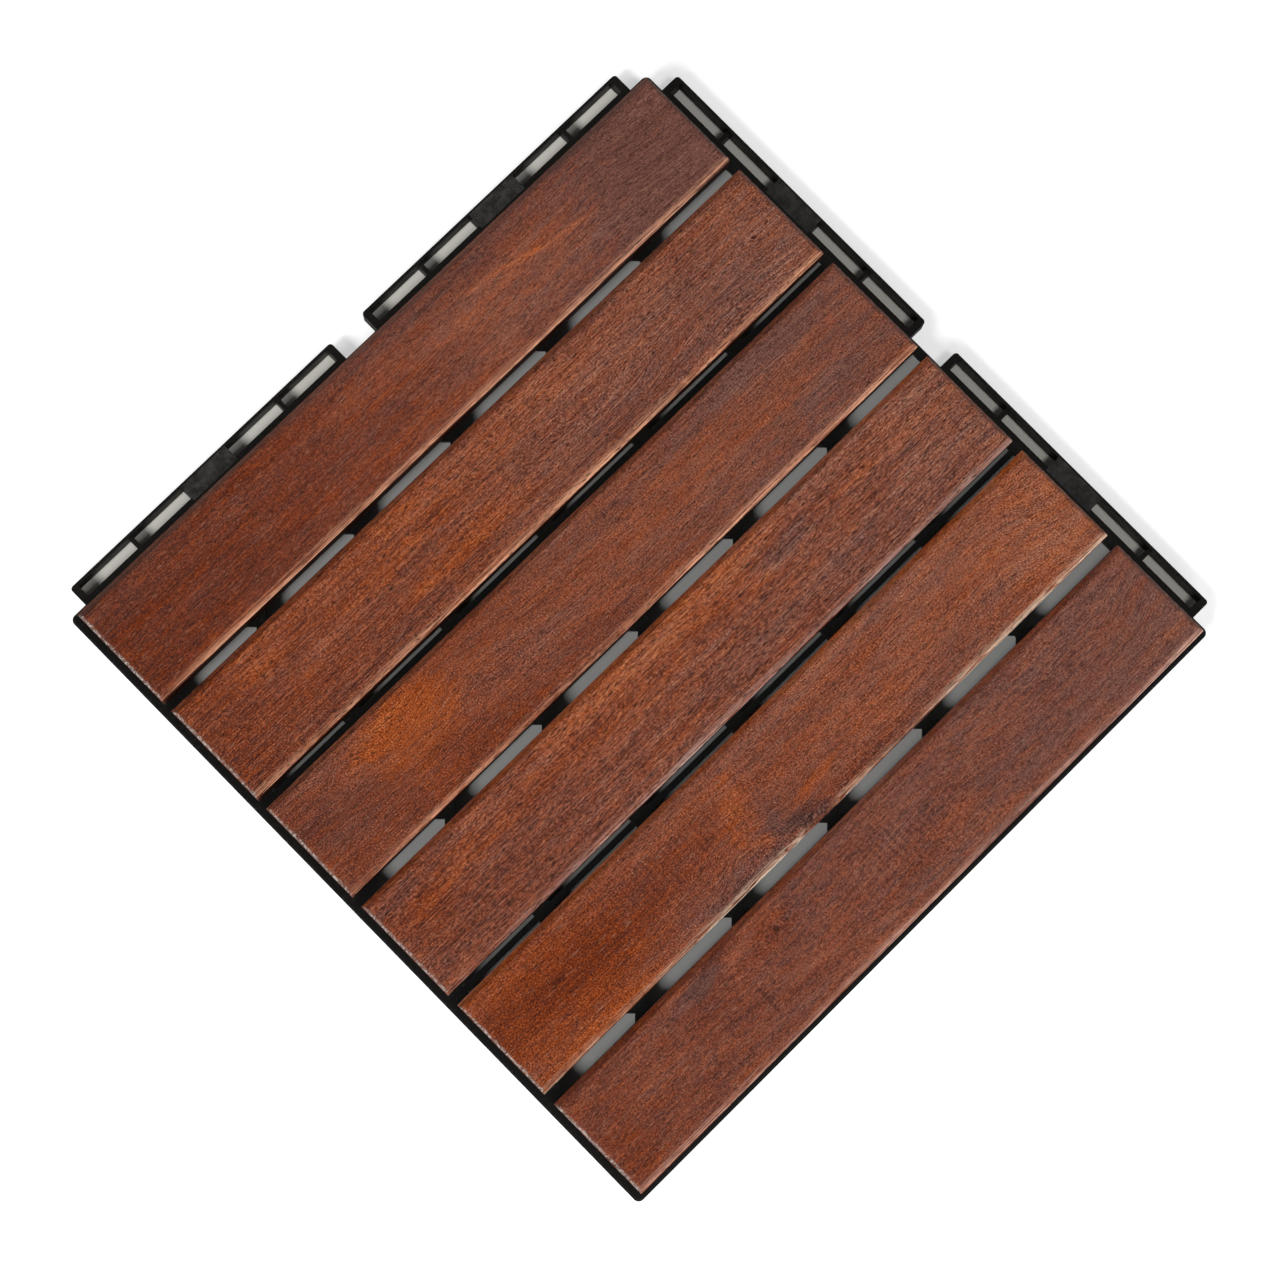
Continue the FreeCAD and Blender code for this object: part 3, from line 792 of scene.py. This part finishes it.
# %% Cold-formed stainless steel
def stainless_steel():
    """Cold-formed stainless steel: a grey metal with a soft shine and faint marks of the die."""
    material, tree, shader = new_material("cold_formed_stainless_steel")
    place = add(tree, "ShaderNodeTexCoord").outputs["Object"]
    marks = add(tree, "ShaderNodeTexNoise", {"Vector": place, "Scale": 900.0, "Detail": 4.0})
    rough = add(tree, "ShaderNodeMapRange", {"Value": marks, "To Min": 0.24, "To Max": 0.48})
    normal = add(tree, "ShaderNodeBump", {"Strength": 0.2, "Distance": 0.03 * MM, "Height": marks})
    set_inputs(tree, shader, {"Base Color": linear("#C4C2BD"), "Metallic": 1.0, "Roughness": rough, "Normal": normal})
    return material


screws.data.materials.append(stainless_steel())
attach(screws, "root")
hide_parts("screws")
print("screw finish:", screws.data.materials[0].name)

# %% [markdown]
# The base is one moulding of polypropylene, and its packed form is already right: openings, strips, windows,
# ledges and pegs. What a moulding has and sharp solids lack is a small round on every edge, because molten plastic
# can't fill a knife-sharp corner, and it is this round that catches the light as a thin line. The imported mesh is
# loose triangles, so its points are welded, flat faces are merged, and a bevel of a quarter millimetre runs along
# the real edges.

# %% Rounded edges on the base
EDGE_ROUND = 0.25
WELD_REACH = 0.001
FLAT_ANGLE, EDGE_ANGLE = 2, 35

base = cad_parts["base"]
weld = base.modifiers.new("join_points", "WELD")
weld.merge_threshold = WELD_REACH * MM
merge = base.modifiers.new("merge_flats", "DECIMATE")
merge.decimate_type, merge.angle_limit = "DISSOLVE", math.radians(FLAT_ANGLE)
rounds = base.modifiers.new("moulded_edges", "BEVEL")
rounds.width, rounds.segments = EDGE_ROUND * MM, 2
rounds.limit_method, rounds.angle_limit = "ANGLE", math.radians(EDGE_ANGLE)
rounds.harden_normals = True
# The rounds take the second slot, whose lighter grey is a painted highlight
rounds.material = 1
print("edge round in mm:", EDGE_ROUND)

# %% [markdown]
# Black polypropylene comes out of a mould with a spark-eroded texture: a satin skin, matt from close by, that
# turns grey where the light grazes it. A moulding also shows faint clouds of gloss where the melt flowed and
# cooled at its own pace, and a tile that has lain about holds a little dust. The real texture is 0.05 to 0.1 mm
# fine and is drawn at 0.3 mm, so that it shows at all.

# %% Satin black polypropylene
# The strips' cored blocks, in metres: middle and half along a strip, middle and half across it, and their top
BLOCK_CENTRE, BLOCK_HALF = 0.075, 0.0112
STRIP_MIDDLE, STRIP_HALF = 0.1546, 0.0036
STRIP_TOP, TOP_SLACK = 0.009, 0.0003
BODY_HALF, BODY_SLACK = 0.150, 0.0002
# For each pattern of the skin: features per metre, detail and roughness of the noise
SKIN_PATTERNS = {"skin": (3200.0, 2.0, 0.5), "cloud": (90.0, 5.0, 0.6), "dust": (700.0, 4.0, 0.7),
                 "mottle": (260.0, 4.0, 0.7)}
POLYPROPYLENE_IOR = 1.49
# How strongly the deck between the slats is darkened, as painted shade
DECK_SHADE = 0.65


def black_polypropylene():
    """Spark-eroded black polypropylene with flow clouds, a trace of dust, glossier and lighter mottled tops on the
    strips' blocks, and painted shade on the deck between the slats.
    """
    material, tree, shader = new_material("moulded_black_polypropylene")
    place = add(tree, "ShaderNodeTexCoord").outputs["Object"]
    skin, cloud, dust, mottle = (
        add(tree, "ShaderNodeTexNoise", {"Vector": place, "Scale": scale, "Detail": detail, "Roughness": roughness})
        for scale, detail, roughness in SKIN_PATTERNS.values())
    dust = add(tree, "ShaderNodeMapRange", {"Value": dust, "From Min": 0.55, "From Max": 0.8, "To Max": 0.05})
    mottle = add(tree, "ShaderNodeMapRange", {"Value": mottle, "From Min": 0.40, "From Max": 0.64})
    # A block is where one axis is near a strip's middle and the other across the strip, at the height of its top
    axes = add(tree, "ShaderNodeSeparateXYZ", {0: place}).outputs
    blocks = []
    for run, across in (("X", "Y"), ("Y", "X")):
        away = add(tree, "ShaderNodeMath", {0: axes[run]}, operation="ABSOLUTE")
        inside = add(tree, "ShaderNodeMath", {0: away, 1: BLOCK_CENTRE, 2: BLOCK_HALF}, operation="COMPARE")
        over = add(tree, "ShaderNodeMath", {0: axes[across], 1: STRIP_MIDDLE, 2: STRIP_HALF}, operation="COMPARE")
        blocks.append(add(tree, "ShaderNodeMath", {0: inside, 1: over}, operation="MULTIPLY"))
    block = add(tree, "ShaderNodeMath", {0: blocks[0], 1: blocks[1]}, operation="MAXIMUM")
    top = add(tree, "ShaderNodeMath", {0: axes["Z"], 1: STRIP_TOP, 2: TOP_SLACK}, operation="COMPARE")
    block = add(tree, "ShaderNodeMath", {0: block, 1: top}, operation="MULTIPLY")
    # The blocks' tops are drawn lighter in mottled patches, and glossier
    lighter_block_tops = add(tree, "ShaderNodeMath", {0: block, 1: mottle}, operation="MULTIPLY")
    # Painted shade: the deck between the slats, which the slats shade, is drawn darker than the strips
    reach = add(tree, "ShaderNodeMath", {0: axes["X"], 1: axes["Y"]}, operation="MAXIMUM")
    deck_shade = add(tree, "ShaderNodeMath", {0: reach, 1: BODY_HALF + BODY_SLACK}, operation="LESS_THAN")
    deck_shade = add(tree, "ShaderNodeMath", {0: deck_shade, 1: DECK_SHADE}, operation="MULTIPLY")
    colour = linear("#090807")
    for share, code in ((cloud, "#191714"), (lighter_block_tops, "#3A3836"), (deck_shade, "#040404"), (dust, "#8E8A84")):
        colour = add(tree, "ShaderNodeMix", {0: share, 6: colour, 7: linear(code)}, data_type="RGBA").outputs[2]
    rough = add(tree, "ShaderNodeMapRange", {"Value": cloud, "From Min": 0.3, "From Max": 0.7, "To Min": 0.34,
                                             "To Max": 0.56})
    normal = add(tree, "ShaderNodeBump", {"Strength": 0.35, "Distance": 0.05 * MM, "Height": skin})
    level = add(tree, "ShaderNodeMapRange", {"Value": block, "To Min": 0.06, "To Max": 0.14})
    set_inputs(tree, shader, {"Base Color": colour, "Roughness": rough, "Normal": normal,
                              "Specular IOR Level": level, "IOR": POLYPROPYLENE_IOR})
    return material


base.data.materials.clear()
base.data.materials.append(black_polypropylene())
print("patterns of the skin:", ", ".join(SKIN_PATTERNS))

# %% [markdown]
# The rounds of the base catch the light as thin lines, and here that is a painted highlight: they are painted a
# lighter grey in patches. The bevel that made those rounds put them in a second material slot, so they get a finish
# of their own.

# %% Rubbed edges
def edge_highlight_polypropylene():
    """The same plastic on its rounded edges, painted a lighter grey in patches as a highlight."""
    material, tree, shader = new_material("painted_edge_highlight_polypropylene")
    place = add(tree, "ShaderNodeTexCoord").outputs["Object"]
    edge_glint = add(tree, "ShaderNodeTexNoise", {"Vector": place, "Scale": 160.0, "Detail": 4.0, "Roughness": 0.7})
    # Painted highlight: patches of lighter grey along the rounds
    edge_glint = add(tree, "ShaderNodeMapRange", {"Value": edge_glint, "From Min": 0.4, "From Max": 0.62})
    colour = add(tree, "ShaderNodeMix", {0: edge_glint, 6: linear("#1A1816"), 7: linear("#4A4744")},
                 data_type="RGBA").outputs[2]
    set_inputs(tree, shader, {"Base Color": colour, "Roughness": 0.42, "Specular IOR Level": 0.3,
                              "IOR": POLYPROPYLENE_IOR})
    return material


base.data.materials.append(edge_highlight_polypropylene())
print("finishes of the base:", ", ".join(finish.name for finish in base.data.materials))

# %% [markdown]
# The tile lies on a plain pale floor. It is an ordinary matt white, so it keeps the tile's shadow. Where the camera
# sees it directly it gets a little light of its own, which lifts the open floor to white without adding any light
# to the tile.

# %% The floor
FLOOR_HALF = 6.0
FLOOR_DROP = 0.1 * MM
FLOOR_LIFT = 0.50
WHITE = (1.0, 1.0, 1.0, 1.0)

floor_mesh = bpy.data.meshes.new("floor")
corners = [(-FLOOR_HALF, -FLOOR_HALF), (FLOOR_HALF, -FLOOR_HALF), (FLOOR_HALF, FLOOR_HALF), (-FLOOR_HALF, FLOOR_HALF)]
floor_mesh.from_pydata([(x, y, -FLOOR_DROP) for x, y in corners], [], [(0, 1, 2, 3)])
floor = in_scene("floor", floor_mesh)

floor_paint, tree, shader = new_material("matt_white_floor")
path = add(tree, "ShaderNodeLightPath")
lift = add(tree, "ShaderNodeMath", {0: path.outputs["Is Camera Ray"], 1: FLOOR_LIFT}, operation="MULTIPLY")
set_inputs(tree, shader, {"Base Color": linear("#ECECEC"), "Roughness": 0.9, "Specular IOR Level": 0.0,
                          "Emission Color": WHITE, "Emission Strength": lift})
floor.data.materials.append(floor_paint)
print("floor side in metres:", 2 * FLOOR_HALF)

# %% [markdown]
# The sky has two strengths. The camera, and whatever the tile mirrors or lets through, sees it as plain white. As a
# light it is much weaker, and only fills the shadows that the lamps leave.

# %% The sky
SKY_FILL = 0.11
world = bpy.data.worlds.new("white_studio")
bpy.context.scene.world = world
world.use_nodes = True
tree = world.node_tree
tree.nodes.clear()
path = add(tree, "ShaderNodeLightPath")
seen = path.outputs["Is Camera Ray"]
for other in ("Is Glossy Ray", "Is Transmission Ray"):
    seen = add(tree, "ShaderNodeMath", {0: seen, 1: path.outputs[other]}, operation="MAXIMUM")
fill = add(tree, "ShaderNodeBackground", {"Color": WHITE, "Strength": SKY_FILL})
white = add(tree, "ShaderNodeBackground", {"Color": WHITE, "Strength": 1.0})
sky = add(tree, "ShaderNodeMixShader", {0: seen, 1: fill, 2: white})
add(tree, "ShaderNodeOutputWorld", {"Surface": sky})
print("sky fill:", SKY_FILL)

# %% [markdown]
# Through its openings the real tile shows a darker ground than the white around it. A thin grey felt lies there,
# cut a little smaller than the tile's outline and ending under its two set-back walls, so that only the openings
# show it. It is paler under the four strips, where the real ground catches more light.

# %% Grey felt under the tile
# In millimetres: half the body, how far the strips reach, how far they keep from the corners and from the middle,
# how much smaller the felt is cut, and where the set-back walls stand
BODY, REACH, MARGIN, INSET = 150, 159, 8, 0.8
SET_BACK_WALL = 141.3


def felt_sheet():
    """Five rectangles: one under the body, and one under each of the four strips along +X and +Y."""
    near, far = MARGIN + INSET, BODY - MARGIN - INSET
    body = BODY - INSET
    spans = [((-SET_BACK_WALL, body), (-SET_BACK_WALL, body))]
    for low, high in ((near, far), (-far, -near)):
        spans += [((low, high), (body, REACH - INSET)), ((body, REACH - INSET), (low, high))]
    points = [(x, y, -FLOOR_DROP / MM / 2) for (x0, x1), (y0, y1) in spans
              for x, y in ((x0, y0), (x1, y0), (x1, y1), (x0, y1))]
    mesh = bpy.data.meshes.new("felt")
    mesh.from_pydata((np.array(points) * MM).tolist(), [], [tuple(range(4 * k, 4 * k + 4)) for k in range(len(spans))])
    return in_scene("felt", mesh)


felt = felt_sheet()
for name, code in (("grey_felt", "#C0C0BE"), ("pale_felt", "#DEDBD2")):
    cloth, tree, shader = new_material(name)
    set_inputs(tree, shader, {"Base Color": linear(code), "Roughness": 1.0, "Specular IOR Level": 0.0})
    felt.data.materials.append(cloth)
felt.data.polygons.foreach_set("material_index", [0] + [1] * (len(felt.data.polygons) - 1))
print("felt rectangles:", len(felt.data.polygons))

# %% [markdown]
# The light in the studio is plain and soft, from three boxes. One on the left, along the slats, throws the short
# shadows at the left end of every opening. One overhead, a little towards the front, lights the tops. A low one
# at the front left only grazes the tops and brightens the bevels that face it. Their energies add up, with the
# sky, to the level at which a white sheet on the floor just shows white, so a colour renders about as it is
# written: a lamp of P watts at d metres, at height h above the horizon, lights the floor by P sin(h) / (pi d)^2.

# %% The studio lamps
LAMP_AWAY = 5.0


def softbox(name, azimuth, height, size, share):
    """A round lamp that faces the tile and gives the floor a share of the light that shows white as white."""
    turn, rise = math.radians(azimuth), math.radians(height)
    data = bpy.data.lights.new(name, "AREA")
    data.shape, data.size = "DISK", size
    data.energy = share * (math.pi * LAMP_AWAY) ** 2 / math.sin(rise)
    lamp = in_scene(name, data)
    away = (math.cos(turn) * math.cos(rise), math.sin(turn) * math.cos(rise), math.sin(rise))
    lamp.location = [LAMP_AWAY * part for part in away]
    lamp.rotation_euler = (math.pi / 2 - rise, 0, turn + math.pi / 2)
    print(name, "energy in watts:", round(data.energy, 1))


softbox("left_box", azimuth=184, height=48, size=1.60, share=0.51)
softbox("overhead_box", azimuth=270, height=68, size=1.25, share=0.25)
softbox("low_box", azimuth=250, height=20, size=2.50, share=0.13)

# %% [markdown]
# The camera stands 1.2 m above the tile and looks almost straight down, with the tile turned so that one corner
# points up. Its place, turn and lens were worked out by fitting the real tile's corners, so they are kept as
# plain numbers.

# %% The camera
CAMERA_PLACE = (-145.15, -87.06, 1209.8)
CAMERA_TURN = (7.546, -1.971, -44.604)
CAMERA_LENS, SENSOR_WIDTH = 91.42, 36.0
NEAREST, FURTHEST = 0.05, 50.0

camera_data = bpy.data.cameras.new("camera")
camera_data.lens, camera_data.sensor_width = CAMERA_LENS, SENSOR_WIDTH
camera_data.clip_start, camera_data.clip_end = NEAREST, FURTHEST
camera = in_scene("camera", camera_data)
camera.location = [MM * value for value in CAMERA_PLACE]
camera.rotation_euler = [math.radians(value) for value in CAMERA_TURN]
bpy.context.scene.camera = camera
bpy.context.scene.view_settings.view_transform = "Standard"
print("camera height in mm:", CAMERA_PLACE[2])
